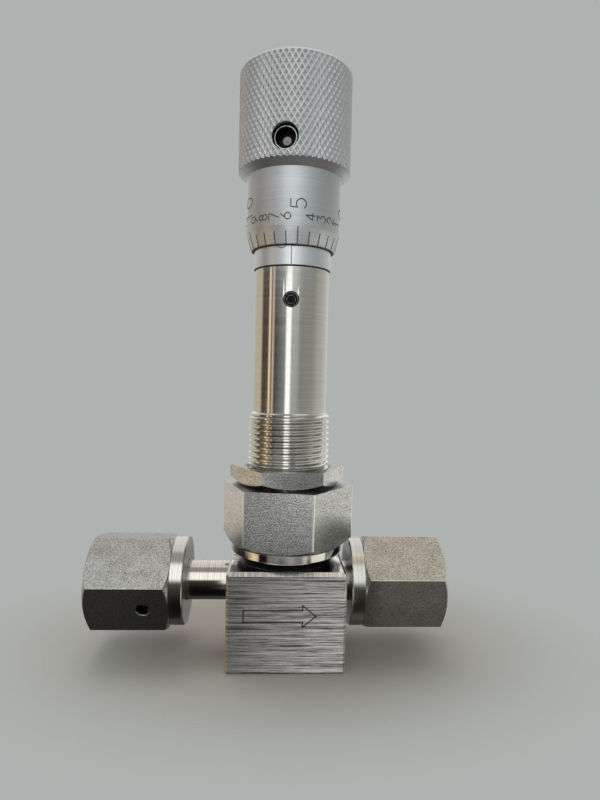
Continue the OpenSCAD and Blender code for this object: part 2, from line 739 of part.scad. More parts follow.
module handle_screw() {
    color(black_oxide) radial(handle_screw_turn, screw_z) translate([0, 0, spindle_d / 2])
        set_screw(handle_screw_d, handle_screw_len);
}

valve_body();
inlet_gland();
outlet_gland();
body_gasket();
weld_ring();
bellows();
bonnet();
bonnet_nut();
stem_guide();
index_sleeve();
spindle_nut();
sleeve_screw();
panel_nut();
inlet_nut();
outlet_nut();
needle_tip();
stem();
bellows_cap();
anti_rotation_pin();
coupling_cup();
thrust_ball();
thrust_ring();
spindle();
vernier_handle();
handle_screw();
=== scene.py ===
"""Looks of the bellows-sealed metering valve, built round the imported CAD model. Lengths are metres."""
import json
import math

import bmesh
import bpy
from mathutils import Matrix, Vector

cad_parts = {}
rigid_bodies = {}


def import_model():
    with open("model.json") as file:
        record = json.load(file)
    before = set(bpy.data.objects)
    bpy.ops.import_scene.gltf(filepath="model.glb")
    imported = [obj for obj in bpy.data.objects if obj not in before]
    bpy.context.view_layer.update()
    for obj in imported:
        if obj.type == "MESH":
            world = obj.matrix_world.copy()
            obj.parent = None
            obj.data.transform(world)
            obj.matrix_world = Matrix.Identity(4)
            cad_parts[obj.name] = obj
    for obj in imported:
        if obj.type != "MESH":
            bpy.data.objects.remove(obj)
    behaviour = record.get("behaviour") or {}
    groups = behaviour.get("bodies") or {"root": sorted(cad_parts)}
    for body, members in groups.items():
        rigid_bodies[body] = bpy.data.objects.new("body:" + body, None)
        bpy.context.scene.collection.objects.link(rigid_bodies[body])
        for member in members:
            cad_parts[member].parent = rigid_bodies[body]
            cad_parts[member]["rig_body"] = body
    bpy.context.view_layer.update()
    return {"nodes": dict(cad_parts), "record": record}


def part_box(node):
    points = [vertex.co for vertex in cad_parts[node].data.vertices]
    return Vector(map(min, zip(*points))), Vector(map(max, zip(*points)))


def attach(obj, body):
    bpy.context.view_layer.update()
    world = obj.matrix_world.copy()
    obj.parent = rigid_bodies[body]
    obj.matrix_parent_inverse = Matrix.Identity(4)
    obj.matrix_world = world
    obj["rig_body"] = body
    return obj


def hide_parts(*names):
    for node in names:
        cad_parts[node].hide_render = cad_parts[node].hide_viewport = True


MM = 0.001

# Camera: place, turns about X, Y and Z in radians, and focal length in pixels of the 600 x 800 frame
CAMERA_AT = (-3.819 * MM, -123.849 * MM, 63.009 * MM)
CAMERA_TURNS = (0.04864, 0.02324, 0.04885)
FOCAL_PX = 553.53
FRAME_HEIGHT_PX = 800
SENSOR_MM = 36

# Panel thread: pitch, radii of crest and root, and where it starts and ends above the bonnet's foot
PANEL_PITCH = 25.4 / 20 * MM
PANEL_CREST = 9.075 * MM
PANEL_ROOT = 8.40 * MM
PANEL_START = 3.2 * MM
PANEL_END = 20.6 * MM

# Thread in the mouth of an end nut: pitch, radii of crest and root, and length
NUT_PITCH = 25.4 / 18 * MM
NUT_CREST = 6.45 * MM
NUT_ROOT = 7.10 * MM
NUT_THREAD = 10.6 * MM

# All threads: slope of the flanks, steps in a turn, and how far a cutter reaches past the crest
FLANK = math.tan(math.radians(30))
THREAD_STEPS = 72
THREAD_OVER = 0.04 * MM

# End nuts: the flats' distance from the axis, and the test port's from the nut's closed end
NUT_FLAT = 9.525 * MM
PORT_IN = 8.2 * MM

# Knurl on the knob: its height, diamonds round it, rows up it, depth, and the shares of a diamond's width
# and of the depth that its ridges take
KNOB_HEIGHT = 21.1 * MM
KNURL_ROUND = 60
KNURL_ROWS = 22
KNURL_DEPTH = 0.34 * MM
KNURL_FLAT = 0.16
KNURL_FALL = 0.05

# Vernier dial: radii at the foot and top of its taper, and the taper's height
DIAL_FOOT_R = 9.155 * MM
DIAL_TOP_R = 10.315 * MM
DIAL_TAPER = 3.83 * MM
# Its divisions, the turn of the index line from the front in degrees, the reading in the photograph, the
# lift in one turn, and the turns from shut to open
DIVISIONS = 25
INDEX_TURN = -3.5
READING = 5.5
LEAD = 0.635 * MM
TURNS = 10

# Edges that meet at more than this angle are broken, and longer ones than this can have a wider break
SHARP = math.radians(25)
LONG_EDGE = 5 * MM

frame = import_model()


class Graph:
    """Adds and links the nodes of one material or world."""

    def __init__(self, tree):
        self.tree = tree
        tree.nodes.clear()

    def add(self, kind, inputs=None, **settings):
        """A new node with its settings and inputs, which are values or sockets."""
        node = self.tree.nodes.new(kind)
        for name, value in settings.items():
            setattr(node, name, value)
        for name, value in (inputs or {}).items():
            self.put(node.inputs[name], value)
        return node

    def put(self, socket, value):
        """Links another node's socket to an input, or sets the input's value."""
        if isinstance(value, bpy.types.NodeSocket):
            self.tree.links.new(value, socket)
        else:
            socket.default_value = value

    def surface(self, shader, kind="ShaderNodeOutputMaterial"):
        """Ends the graph with shader."""
        self.put(self.add(kind).inputs["Surface"], shader)

    def math(self, operation, a, b=0.0):
        """One sum, product or other operation on a and b."""
        return self.add("ShaderNodeMath", {0: a, 1: b}, operation=operation).outputs[0]

    def weigh(self, a, a_share, b, b_share):
        """The sum of a and b, each times its share."""
        return self.math("ADD", self.math("MULTIPLY", a, a_share), self.math("MULTIPLY", b, b_share))

    def step(self, value, low, high, at_low=0.0, at_high=1.0):
        """A smooth step from at_low to at_high while value goes from low to high."""
        node = self.add("ShaderNodeMapRange", {"Value": value, "From Min": low, "From Max": high,
                                               "To Min": at_low, "To Max": at_high},
                        interpolation_type="SMOOTHSTEP")
        return node.outputs["Result"]

    def ramp(self, value, stops):
        """A colour ramp through (place, colour) stops."""
        node = self.add("ShaderNodeValToRGB", {"Fac": value})
        elements = node.color_ramp.elements
        while len(elements) < len(stops):
            elements.new(0.5)
        for element, (place, _) in zip(elements, stops):
            element.position = place
        for element, (_, colour) in zip(elements, stops):
            element.color = (*colour, 1)
        return node.outputs["Color"]

    def mix(self, factor, a, b):
        """The colour a where factor is 0, and b where it is 1."""
        node = self.add("ShaderNodeMix", data_type="RGBA")
        sockets = [s for s in node.inputs if s.enabled]
        for socket, value in zip(sockets, (factor, a, b)):
            self.put(socket, value)
        return next(s for s in node.outputs if s.enabled)

    def place(self, scale=(1, 1, 1)):
        """Coordinates on the object, stretched by scale."""
        coord = self.add("ShaderNodeTexCoord").outputs["Object"]
        return self.add("ShaderNodeVectorMath", {0: coord, 1: scale}, operation="MULTIPLY").outputs["Vector"]

    def noise(self, vector, scale, detail=3.0, roughness=0.55):
        """Noise from 0 to 1."""
        node = self.add("ShaderNodeTexNoise", {"Vector": vector, "Scale": scale, "Detail": detail,
                                               "Roughness": roughness})
        return node.outputs["Fac"]

    def bump(self, height, strength, distance):
        """A normal that follows height."""
        inputs = {"Height": height, "Strength": strength, "Distance": distance}
        return self.add("ShaderNodeBump", inputs).outputs["Normal"]

    def glow(self, colour):
        """A light of its own in colour."""
        return self.add("ShaderNodeEmission", {"Color": (*colour, 1), "Strength": 1.0}).outputs[0]


def grey(level, warm=0.0):
    """A neutral linear colour, or a warmer one."""
    return (level * (1 + warm), level, level * (1 - warm))


def new_graph(name):
    """A material and its empty node graph."""
    material = bpy.data.materials.new(name)
    material.use_nodes = True
    return material, Graph(material.node_tree)


def new_metal(name, roughness, anisotropic=0.0):
    """A metallic material, its node graph and its shader. A roughness of None is left to the graph."""
    material, graph = new_graph(name)
    shader = graph.add("ShaderNodeBsdfPrincipled", {"Metallic": 1.0, "Anisotropic": anisotropic})
    if roughness is not None:
        shader.inputs["Roughness"].default_value = roughness
    graph.surface(shader.outputs["BSDF"])
    return material, graph, shader


def two_tone(graph, shader, factor, dark, light):
    """Gives the shader a colour between dark and light."""
    graph.put(shader.inputs["Base Color"], graph.mix(factor, (*dark, 1), (*light, 1)))


def ground_steel():
    """Surface-ground flats: long fine lines along the flow, and broad streaks."""
    material, graph, shader = new_metal("ground_steel", None)
    fine = graph.noise(graph.place((130, 130, 8600)), 1.0, 4.0, 0.7)
    broad = graph.noise(graph.place((28, 28, 3400)), 1.0, 3.0, 0.6)
    both = graph.weigh(fine, 0.7, broad, 0.3)
    two_tone(graph, shader, graph.step(both, 0.41, 0.575), (0.13, 0.126, 0.122), (0.88, 0.87, 0.85))
    graph.put(shader.inputs["Roughness"], graph.step(both, 0.38, 0.62, 0.24, 0.15))
    graph.put(shader.inputs["Normal"], graph.bump(fine, 0.35, 0.03 * MM))
    return material


def edge_steel():
    """Broken edges of the block and the bonnet nut: bright, with fine marks across them."""
    material, graph, shader = new_metal("edge_steel", 0.25)
    marks = graph.noise(graph.place((3200, 30, 30)), 1.0, 2.0, 0.6)
    two_tone(graph, shader, graph.step(marks, 0.35, 0.65), (0.62, 0.61, 0.585), (0.98, 0.97, 0.94))
    return material


def turned_steel():
    """Fine turned steel on the glands and the inner pieces."""
    material, graph, shader = new_metal("turned_steel", 0.22)
    lines = graph.noise(graph.place((9000, 40, 40)), 1.0, 3.0, 0.6)
    two_tone(graph, shader, lines, (0.55, 0.54, 0.51), (0.76, 0.75, 0.72))
    graph.put(shader.inputs["Normal"], graph.bump(lines, 0.12, 0.02 * MM))
    return material


def gland_steel():
    """The tube necks: turned steel, browned a little by the heat of their welds."""
    material, graph, shader = new_metal("gland_steel", 0.15)
    lines = graph.noise(graph.place((5200, 30, 30)), 1.0, 3.0, 0.6)
    two_tone(graph, shader, graph.step(lines, 0.3, 0.7), (0.52, 0.485, 0.43), (0.69, 0.665, 0.62))
    graph.put(shader.inputs["Normal"], graph.bump(lines, 0.12, 0.012 * MM))
    return material


def around_stem(graph, shader):
    """Stretches highlights along the stem, as turning marks round it do."""
    tangent = graph.add("ShaderNodeTangent", direction_type="RADIAL", axis="Z")
    shader.inputs["Anisotropic Rotation"].default_value = 0.25
    graph.put(shader.inputs["Tangent"], tangent.outputs["Tangent"])


def polished_steel():
    """The barrel and the bonnet nut's collar: bright turned steel with fine lines round it."""
    material, graph, shader = new_metal("polished_steel", None, 0.7)
    lines = graph.noise(graph.place((30, 30, 11000)), 1.0, 4.0, 0.65)
    bands = graph.noise(graph.place((10, 10, 700)), 1.0, 2.0, 0.5)
    two_tone(graph, shader, graph.step(lines, 0.3, 0.7), (0.63, 0.615, 0.58), (0.73, 0.72, 0.69))
    graph.put(shader.inputs["Roughness"], graph.step(bands, 0.3, 0.7, 0.13, 0.19))
    graph.put(shader.inputs["Normal"], graph.bump(lines, 0.06, 0.012 * MM))
    around_stem(graph, shader)
    return material


def nut_steel():
    """Machined hexagons: a fine grain with faint lines across the flats."""
    material, graph, shader = new_metal("nut_steel", None)
    grain = graph.noise(graph.place(), 4600.0, 2.0, 0.6)
    streaks = graph.noise(graph.place((260, 260, 4200)), 1.0, 2.0, 0.6)
    both = graph.weigh(streaks, 0.18, grain, 0.82)
    two_tone(graph, shader, graph.step(both, 0.37, 0.63), (0.23, 0.23, 0.226), (0.63, 0.62, 0.595))
    graph.put(shader.inputs["Roughness"], graph.step(both, 0.36, 0.64, 0.30, 0.25))
    graph.put(shader.inputs["Normal"], graph.bump(grain, 0.08, 0.006 * MM))
    return material


def blasted_steel():
    """The end nuts: a matt grain all over, duller and darker than the turned pieces."""
    material, graph, shader = new_metal("blasted_steel", None)
    grain = graph.noise(graph.place(), 4300.0, 2.0, 0.6)
    cloud = graph.noise(graph.place(), 300.0, 3.0, 0.6)
    both = graph.weigh(grain, 0.8, cloud, 0.2)
    two_tone(graph, shader, graph.step(both, 0.37, 0.64), (0.26, 0.255, 0.24), (0.60, 0.59, 0.56))
    graph.put(shader.inputs["Roughness"], graph.step(both, 0.36, 0.64, 0.42, 0.32))
    graph.put(shader.inputs["Normal"], graph.bump(grain, 0.45, 0.03 * MM))
    return material


def collar_steel():
    """The collars of the end nuts and the rim of the handle screw: turned, and a little dull."""
    material, graph, shader = new_metal("collar_steel", 0.20)
    lines = graph.noise(graph.place((9000, 40, 40)), 1.0, 3.0, 0.6)
    two_tone(graph, shader, graph.step(lines, 0.3, 0.7), (0.48, 0.47, 0.44), (0.68, 0.67, 0.64))
    graph.put(shader.inputs["Normal"], graph.bump(lines, 0.12, 0.015 * MM))
    return material


def shaded_steel():
    """The turned ends of the collars, and the spot deep in the handle screw's socket: duller and darker than
    the flats, which paints the shade on them.
    """
    material, graph, shader = new_metal("shaded_steel", 0.34)
    cloud = graph.noise(graph.place(), 700.0, 3.0, 0.6)
    two_tone(graph, shader, graph.step(cloud, 0.3, 0.7), (0.16, 0.15, 0.135), (0.30, 0.285, 0.26))
    return material


def bellows_steel():
    """Bright formed sheet."""
    material, graph, shader = new_metal("bellows_steel", 0.2)
    sheen = graph.noise(graph.place(), 900.0, 3.0, 0.5)
    two_tone(graph, shader, sheen, (0.60, 0.59, 0.56), (0.72, 0.71, 0.68))
    return material


def satin_aluminium():
    """Satin plated handle and sleeve: a very fine grain and faint lines round the stem."""
    material, graph, shader = new_metal("satin_aluminium", None)
    grain = graph.noise(graph.place(), 9000.0, 2.0, 0.6)
    lines = graph.noise(graph.place((60, 60, 9000)), 1.0, 2.0, 0.5)
    both = graph.weigh(grain, 0.6, lines, 0.4)
    two_tone(graph, shader, graph.step(both, 0.35, 0.65), (0.53, 0.55, 0.57), (0.66, 0.68, 0.70))
    graph.put(shader.inputs["Roughness"], graph.step(both, 0.35, 0.65, 0.47, 0.39))
    graph.put(shader.inputs["Normal"], graph.bump(both, 0.12, 0.012 * MM))
    return material


def sleeve_aluminium():
    """The index sleeve, which is a little brighter than the handle."""
    material, graph, shader = new_metal("sleeve_aluminium", 0.38)
    grain = graph.noise(graph.place(), 9000.0, 2.0, 0.6)
    two_tone(graph, shader, graph.step(grain, 0.35, 0.65), (0.69, 0.72, 0.75), (0.82, 0.85, 0.88))
    graph.put(shader.inputs["Normal"], graph.bump(grain, 0.10, 0.012 * MM))
    return material


def bronze():
    """Bearing bronze on the guide, the spindle nut and the thrust ring."""
    material, graph, shader = new_metal("bronze", 0.3)
    cloud = graph.noise(graph.place(), 800.0, 3.0, 0.6)
    two_tone(graph, shader, cloud, (0.50, 0.33, 0.15), (0.70, 0.50, 0.26))
    return material


def black_oxide():
    """Blackened set screws with a faint oily sheen. Also the black that paints the shade on the block's neck,
    inside the end nuts' test ports and in the knob's screw hole.
    """
    material, graph, shader = new_metal("black_oxide", None)
    cloud = graph.noise(graph.place(), 2500.0, 3.0, 0.6)
    two_tone(graph, shader, cloud, (0.004, 0.004, 0.005), (0.015, 0.015, 0.016))
    graph.put(shader.inputs["Roughness"], graph.step(cloud, 0.3, 0.7, 0.42, 0.28))
    return material


def plated_gasket():
    """Silver plating."""
    material, graph, shader = new_metal("plated_gasket", 0.25)
    cloud = graph.noise(graph.place(), 1500.0, 3.0, 0.6)
    two_tone(graph, shader, cloud, (0.74, 0.74, 0.72), (0.86, 0.86, 0.84))
    return material


def worn_edge():
    """Bare steel where the black has worn off an edge."""
    material, graph, shader = new_metal("worn_edge", 0.3)
    wear = graph.noise(graph.place(), 1800.0, 3.0, 0.6)
    two_tone(graph, shader, graph.step(wear, 0.35, 0.6), (0.10, 0.10, 0.10), (0.60, 0.59, 0.57))
    return material


def engraving():
    """Dark filler in the engraved lines and numbers, and the dark of the rings that paint shade at the
    thimble and under the sleeve's foot.
    """
    material, graph, shader = new_metal("engraving", 0.6)
    shader.inputs["Metallic"].default_value = 0.0
    speckle = graph.noise(graph.place(), 6000.0, 2.0, 0.6)
    two_tone(graph, shader, graph.step(speckle, 0.3, 0.7), (0.012, 0.013, 0.015), (0.05, 0.052, 0.056))
    return material


MATERIALS = {make.__name__: make() for make in (
    ground_steel, edge_steel, turned_steel, gland_steel, polished_steel, nut_steel, blasted_steel,
    collar_steel, shaded_steel, bellows_steel, satin_aluminium, sleeve_aluminium, bronze, black_oxide,
    worn_edge, plated_gasket, engraving)}
SLOT_OF = {part["node"]: part["material_slot"] for part in frame["record"]["subparts"]}


def finish_nodes():
    """Gives every CAD node the material of its slot."""
    for name, node in frame["nodes"].items():
        node.data.materials.clear()
        node.data.materials.append(MATERIALS["gland_steel" if "gland" in name else SLOT_OF[name]])


def new_piece(name, bm, material):
    """An object with the mesh of bm, which is freed."""
    bmesh.ops.recalc_face_normals(bm, faces=bm.faces)
    mesh = bpy.data.meshes.new(name)
    bm.to_mesh(mesh)
    bm.free()
    mesh.materials.append(material)
    piece = bpy.data.objects.new(name, mesh)
    bpy.context.scene.collection.objects.link(piece)
    return piece


def mesh_piece(name, points, faces, material):
    """An object from points, and faces that name them by number."""
    bm = bmesh.new()
    verts = [bm.verts.new(p) for p in points]
    for face in faces:
        bm.faces.new([verts[i] for i in face])
    return new_piece(name, bm, material)


def cad_copy(name, node, edge, edge_material=None, wider=None):
    """A copy of a CAD node with its sharp edges broken by edge, so that they catch the light.

    wider is the size of a wider break and a test of an edge's two ends that picks the edges it is for."""
    source = frame["nodes"][node].data
    bm = bmesh.new()
    verts = [bm.verts.new(v.co) for v in source.vertices]
    for polygon in source.polygons:
        bm.faces.new([verts[i] for i in polygon.vertices])
    bmesh.ops.remove_doubles(bm, verts=bm.verts, dist=0.001 * MM)
    bmesh.ops.dissolve_limit(bm, angle_limit=math.radians(0.5), verts=bm.verts, edges=bm.edges)
    edge_slot = 1 if edge_material else -1

    def break_edges(offset, chosen):
        sharp = [e for e in bm.edges if e.is_manifold and e.calc_face_angle() > SHARP and chosen(e)]
        bmesh.ops.bevel(bm, geom=sharp, offset=offset, offset_type="OFFSET", segments=2, profile=0.5,
                        affect="EDGES", clamp_overlap=True, material=edge_slot)

    if wider:
        break_edges(wider[0], lambda e: wider[1](e.verts[0].co, e.verts[1].co))
    break_edges(edge, lambda e: True)
    piece = new_piece(name, bm, MATERIALS[SLOT_OF[node]])
    if edge_material:
        piece.data.materials.append(MATERIALS[edge_material])
    return piece


def shade(piece, corner=30):
    """Smooth shading between faces that meet at less than corner degrees."""
    piece.data.shade_smooth()
    piece.data.set_sharp_from_angle(angle=math.radians(corner))
    weighted = piece.modifiers.new("face_weighted", "WEIGHTED_NORMAL")
    weighted.keep_sharp = True


def carve(piece, cutter):
    """Takes cutter out of piece for good."""
    cut = piece.modifiers.new("cut", "BOOLEAN")
    cut.operation = "DIFFERENCE"
    cut.solver = "EXACT"
    cut.object = cutter
    bpy.context.view_layer.update()
    carved = bpy.data.meshes.new_from_object(piece.evaluated_get(bpy.context.evaluated_depsgraph_get()))
    piece.modifiers.remove(cut)
    piece.data = carved
    bpy.data.objects.remove(cutter)


def coat(piece, material, chosen):
    """Gives the faces whose centre is chosen another material."""
    piece.data.materials.append(MATERIALS[material])
    slot = len(piece.data.materials) - 1
    for polygon in piece.data.polygons:
        if chosen(polygon.center):
            polygon.material_index = slot


def dress(piece, node):
    """Puts a finished piece in the place of its CAD node."""
    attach(piece, frame["nodes"][node]["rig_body"])
    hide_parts(node)


def thread_cutter(name, pitch, length, inner, outer, place):
    """The V groove of a screw thread about Z, from z = 0 up, as a helical band.

    inner and outer are (radius, width) of the groove's two faces, and place is a matrix for the whole."""
    count = int(length / pitch * THREAD_STEPS)
    points = []
    for k in range(count + 1):
        turn = 2 * math.pi * k / THREAD_STEPS
        height = pitch * k / THREAD_STEPS
        for radius, width in (inner, outer):
            for side in (-0.5, 0.5):
                points.append(place @ Vector((radius * math.cos(turn), radius * math.sin(turn),
                                              height + side * width)))
    faces = []
    for k in range(count):
        a = 4 * k
        b = a + 4
        for i, j in ((0, 1), (1, 3), (3, 2), (2, 0)):
            faces.append((a + i, a + j, b + j, b + i))
    last = 4 * count
    faces += [(0, 2, 3, 1), (last, last + 1, last + 3, last + 2)]
    return mesh_piece(name, points, faces, MATERIALS["turned_steel"])


def screw_axis(node):
    """The middle of a screw, and the direction from the stem to it."""
    low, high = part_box(node)
    middle = (low + high) / 2
    return middle, Vector((middle.x, middle.y, 0)).normalized()


def bonnet():
    """The bonnet with its panel thread cut in full."""
    screw = screw_axis("sleeve_screw")[0]
    skin_r = 8 * MM
    hole_reach = 2 * MM

    def round_screw(a, b):
        return all(p.y < 0 and p.xy.length > skin_r
                   and math.hypot(p.x - screw.x, p.z - screw.z) < hole_reach for p in (a, b))

    piece = cad_copy("bonnet_dressed", "bonnet", 0.08 * MM, wider=(0.20 * MM, round_screw))
    root_flat = PANEL_PITCH / 6
    crest_gap = root_flat + 2 * (PANEL_CREST + THREAD_OVER - PANEL_ROOT) * FLANK
    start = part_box("bonnet")[0].z + PANEL_START
    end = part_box("bonnet")[0].z + PANEL_END
    carve(piece, thread_cutter("panel_groove", PANEL_PITCH, end - start, (PANEL_ROOT, root_flat),
                               (PANEL_CREST + THREAD_OVER, crest_gap), Matrix.Translation((0, 0, start))))
    shade(piece, 35)
    dress(piece, "bonnet")


def end_nut(node, mouth_side, bright_edges):
    """An end nut with the thread in its mouth. mouth_side is the X side that the mouth faces."""
    low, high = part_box(node)
    end, mouth = (low.x, high.x) if mouth_side > 0 else (high.x, low.x)
    port = end + mouth_side * PORT_IN
    height = (low.z + high.z) / 2
    skin_r = 9.4 * MM
    rim_reach = 1.6 * MM
    port_reach = 1.7 * MM
    port_rim = 0.27 * MM
    port_depth = 2.1 * MM
    collar = 3.2 * MM

    def wide(a, b):
        at_port = all(abs(p.x - port) < rim_reach and math.hypot(p.y, p.z - height) > skin_r for p in (a, b))
        return at_port or bright_edges and abs(a.x - b.x) > LONG_EDGE

    edge_material = "turned_steel" if bright_edges else None
    piece = cad_copy(node + "_dressed", node, 0.14 * MM, edge_material, (0.28 * MM, wide))
    root_flat = NUT_PITCH / 8
    crest_gap = root_flat + 2 * (NUT_ROOT - NUT_CREST + THREAD_OVER) * FLANK
    start = (mouth + mouth_side * 0.3 * MM, (low.y + high.y) / 2, height)
    place = Matrix.Translation(start) @ Matrix.Rotation(-mouth_side * math.pi / 2, 4, "Y")
    carve(piece, thread_cutter("nut_groove", NUT_PITCH, NUT_THREAD, (NUT_CREST - THREAD_OVER, crest_gap),
                               (NUT_ROOT, root_flat), place))

    def in_port(centre, near, far):
        depth = NUT_FLAT - math.hypot(centre.y, centre.z - height)
        return near < depth < far and abs(centre.x - port) < port_reach

    coat(piece, "collar_steel", lambda centre: abs(centre.x - end) < collar)
    # The collar's end face towards the block in darker steel: painted shade.
    coat(piece, "shaded_steel", lambda centre: abs(centre.x - end) < 0.05 * MM)
    # Black inside the test port, below its rim: painted shade in the hole.
    coat(piece, "black_oxide", lambda centre: in_port(centre, port_rim, port_depth))
    coat(piece, "turned_steel", lambda centre: in_port(centre, 0.01 * MM, port_rim))
    shade(piece, 35)
    dress(piece, node)


def broken_edges(node, edge, edge_material=None):
    """A CAD node whose only change is that its edges are broken."""
    piece = cad_copy(node + "_dressed", node, edge, edge_material)
    shade(piece)
    dress(piece, node)
    return piece


def body():
    """The block, with bright edges round its top, and black on its neck that paints the shade under the
    bonnet nut.
    """
    piece = broken_edges("valve_body", 0.10 * MM)
    nut_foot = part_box("bonnet_nut")[0].z
    top = nut_foot - 2.0 * MM
    shoulder = nut_foot - 1.9 * MM
    flat_x = 11.7 * MM
    flat_y = 10.2 * MM
    neck_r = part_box("valve_body")[1].x - 0.5 * MM

    def round_top(centre):
        return (top - 0.8 * MM < centre.z < top - 0.01 * MM
                and (abs(centre.x) > flat_x or abs(centre.y) > flat_y))

    coat(piece, "edge_steel", round_top)
    # Black on the neck under the bonnet nut is painted shade.
    coat(piece, "black_oxide", lambda centre: centre.z > shoulder and centre.xy.length < neck_r)


def bonnet_nut():
    """The large nut, with its turned collar bright."""
    piece = cad_copy("bonnet_nut_dressed", "bonnet_nut", 0.14 * MM, "edge_steel",
                     (0.26 * MM, lambda a, b: abs(a.z - b.z) > LONG_EDGE))
    shade(piece)
    dress(piece, "bonnet_nut")
    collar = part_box("bonnet_nut")[0].z + 1.8 * MM
    coat(piece, "polished_steel", lambda centre: centre.z < collar)


def index_sleeve():
    """The sleeve under the thimble, in its own brighter aluminium."""
    piece = broken_edges("index_sleeve", 0.05 * MM)
    piece.data.materials[0] = MATERIALS["sleeve_aluminium"]


def around(radius, turn, height):
    """The point at a radius and a turn in degrees from the front towards +X."""
    angle = math.radians(turn)
    return Vector((radius * math.sin(angle), -radius * math.cos(angle), height))


def band(first, second):
    """The faces between two closed rows of points."""
    count = len(first)
    return [(first[i], first[(i + 1) % count], second[(i + 1) % count], second[i]) for i in range(count)]


def knurl_cutter(low, high, crest, outside):
    """A ring whose inner face is the knurl: sunk diamonds between crossing ridges.

    It reaches from low to high, and lies outside the ridges, which stand at radius crest."""
    pitch = 360 / KNURL_ROUND
    rise = (high - low) / KNURL_ROWS
    keep = 1 - KNURL_FLAT
    count = 2 * KNURL_ROUND
    points = []
    index = {}

    def spot(kind, i, row, radius, turn, height):
        key = (kind, i % count, row)
        if key not in index:
            index[key] = len(points)
            points.append(around(radius, turn, height))
        return index[key]

    ring = ((-1, 0), (0, -1), (1, 0), (0, 1))
    faces = []
    for row in range(KNURL_ROWS + 1):
        height = low + row * rise
        for step in range(KNURL_ROUND):
            i = 2 * step + row % 2
            turn = i * pitch / 2
            corners = [spot("corner", i + dx, row + dz, crest, turn + dx * pitch / 2, height + dz * rise)
                       for dx, dz in ring]
            inner = [spot(("inner", dx, dz), i, row, crest - KNURL_FALL * KNURL_DEPTH,
                          turn + dx * keep * pitch / 2, height + dz * keep * rise) for dx, dz in ring]
            pit = spot("pit", i, row, crest - KNURL_DEPTH, turn, height)
            for k in range(4):
                following = (k + 1) % 4
                faces.append((corners[k], corners[following], inner[following], inner[k]))
                faces.append((inner[k], inner[following], pit))
    walls = []
    for rows in ((0, -1), (KNURL_ROWS, KNURL_ROWS + 1)):
        rim = [index[("corner", i, rows[0] if i % 2 != rows[0] % 2 else rows[1])] for i in range(count)]
        wall = []
        for i, corner in enumerate(rim):
            wall.append(len(points))
            points.append(around(outside, i * pitch / 2, points[corner].z))
        walls.append(wall)
        faces += band(rim, wall)
    faces += band(*walls)
    return mesh_piece("knurl_ring", points, faces, MATERIALS["satin_aluminium"])


def handle():
    """The knob and thimble, with the knurl cut into the knob."""
    piece = cad_copy("handle_dressed", "vernier_handle", 0.06 * MM)
    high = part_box("vernier_handle")[1]
    knob_r = high.x
    foot = high.z - KNOB_HEIGHT
    row = KNOB_HEIGHT / KNURL_ROWS
    carve(piece, knurl_cutter(foot - row, high.z + row, knob_r - 0.05 * MM, knob_r + 1.5 * MM))
    screw, outward = screw_axis("handle_screw")
    reach = knob_r - 0.8 * MM
    hole_r = 2.85 * MM

    def in_screw_hole(centre):
        off = centre - Vector((0, 0, screw.z))
        along = off.dot(outward)
        return 0 < along < reach and (off - along * outward).length < hole_r

    # Black on the walls of the screw hole: painted shade in the hole.
    coat(piece, "black_oxide", in_screw_hole)
    shade(piece, 18)
    dress(piece, "vernier_handle")


def handle_screw():
    """The screw in the knob: a bright rim round a wide black socket, with a steel spot at its bottom in
    darker steel that paints the shade deep in the socket.
    """
    low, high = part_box("handle_screw")
    middle, outward = screw_axis("handle_screw")
    up = Vector((0, 0, 1))
    across = up.cross(outward)
    reaches = [v.co.dot(outward) for v in frame["nodes"]["handle_screw"].data.vertices]
    face = max(reaches)
    length = face - min(reaches) - 0.05 * MM
    screw_r = (high.z - low.z) / 2
    rim_r = screw_r - 0.11 * MM
    lip = 0.05 * MM
    socket = 1.75 * MM
    spot_r = 0.88 * MM
    bottom = 1.85 * MM
    # Radius and depth under the face of each turned edge, from the inner end to the bottom of the socket
    profile = [(0, length), (screw_r, length), (screw_r, 0), (rim_r, 0), (rim_r, lip), (1.98 * MM, lip),
               (1.75 * MM, socket), (spot_r, socket), (spot_r, bottom), (0, bottom)]
    slot_at = {2: 1, len(profile) - 2: 2}
    count = 48
    bm = bmesh.new()
    rings = []
    for radius, depth in profile:
        centre = Vector((0, 0, middle.z)) + outward * (face - depth)
        steps = count if radius else 1
        turns = [2 * math.pi * k / steps for k in range(steps)]
        rings.append([bm.verts.new(centre + radius * (across * math.cos(turn)
                                                      + Vector((0, 0, math.sin(turn))))) for turn in turns])
    for i, (inner, outer) in enumerate(zip(rings, rings[1:])):
        for k in range(count):
            corners = [inner[k % len(inner)], inner[(k + 1) % len(inner)], outer[(k + 1) % len(outer)],
                       outer[k % len(outer)]]
            ring_face = bm.faces.new(list(dict.fromkeys(corners)))
            ring_face.material_index = slot_at.get(i, 0)
    piece = new_piece("handle_screw_dressed", bm, MATERIALS["black_oxide"])
    # The last slot, darker steel on the spot at the socket's bottom, is painted shade.
    for name in ("collar_steel", "shaded_steel"):
        piece.data.materials.append(MATERIALS[name])
    shade(piece)
    dress(piece, "handle_screw")


def arc(centre, radius, start, end, steps, squeeze=1.0):
    """Points of an arc by degrees, counter-clockwise where end is over start."""
    turns = [math.radians(start + (end - start) * k / steps) for k in range(steps + 1)]
    return [(centre[0] + radius * squeeze * math.cos(turn), centre[1] + radius * math.sin(turn))
            for turn in turns]


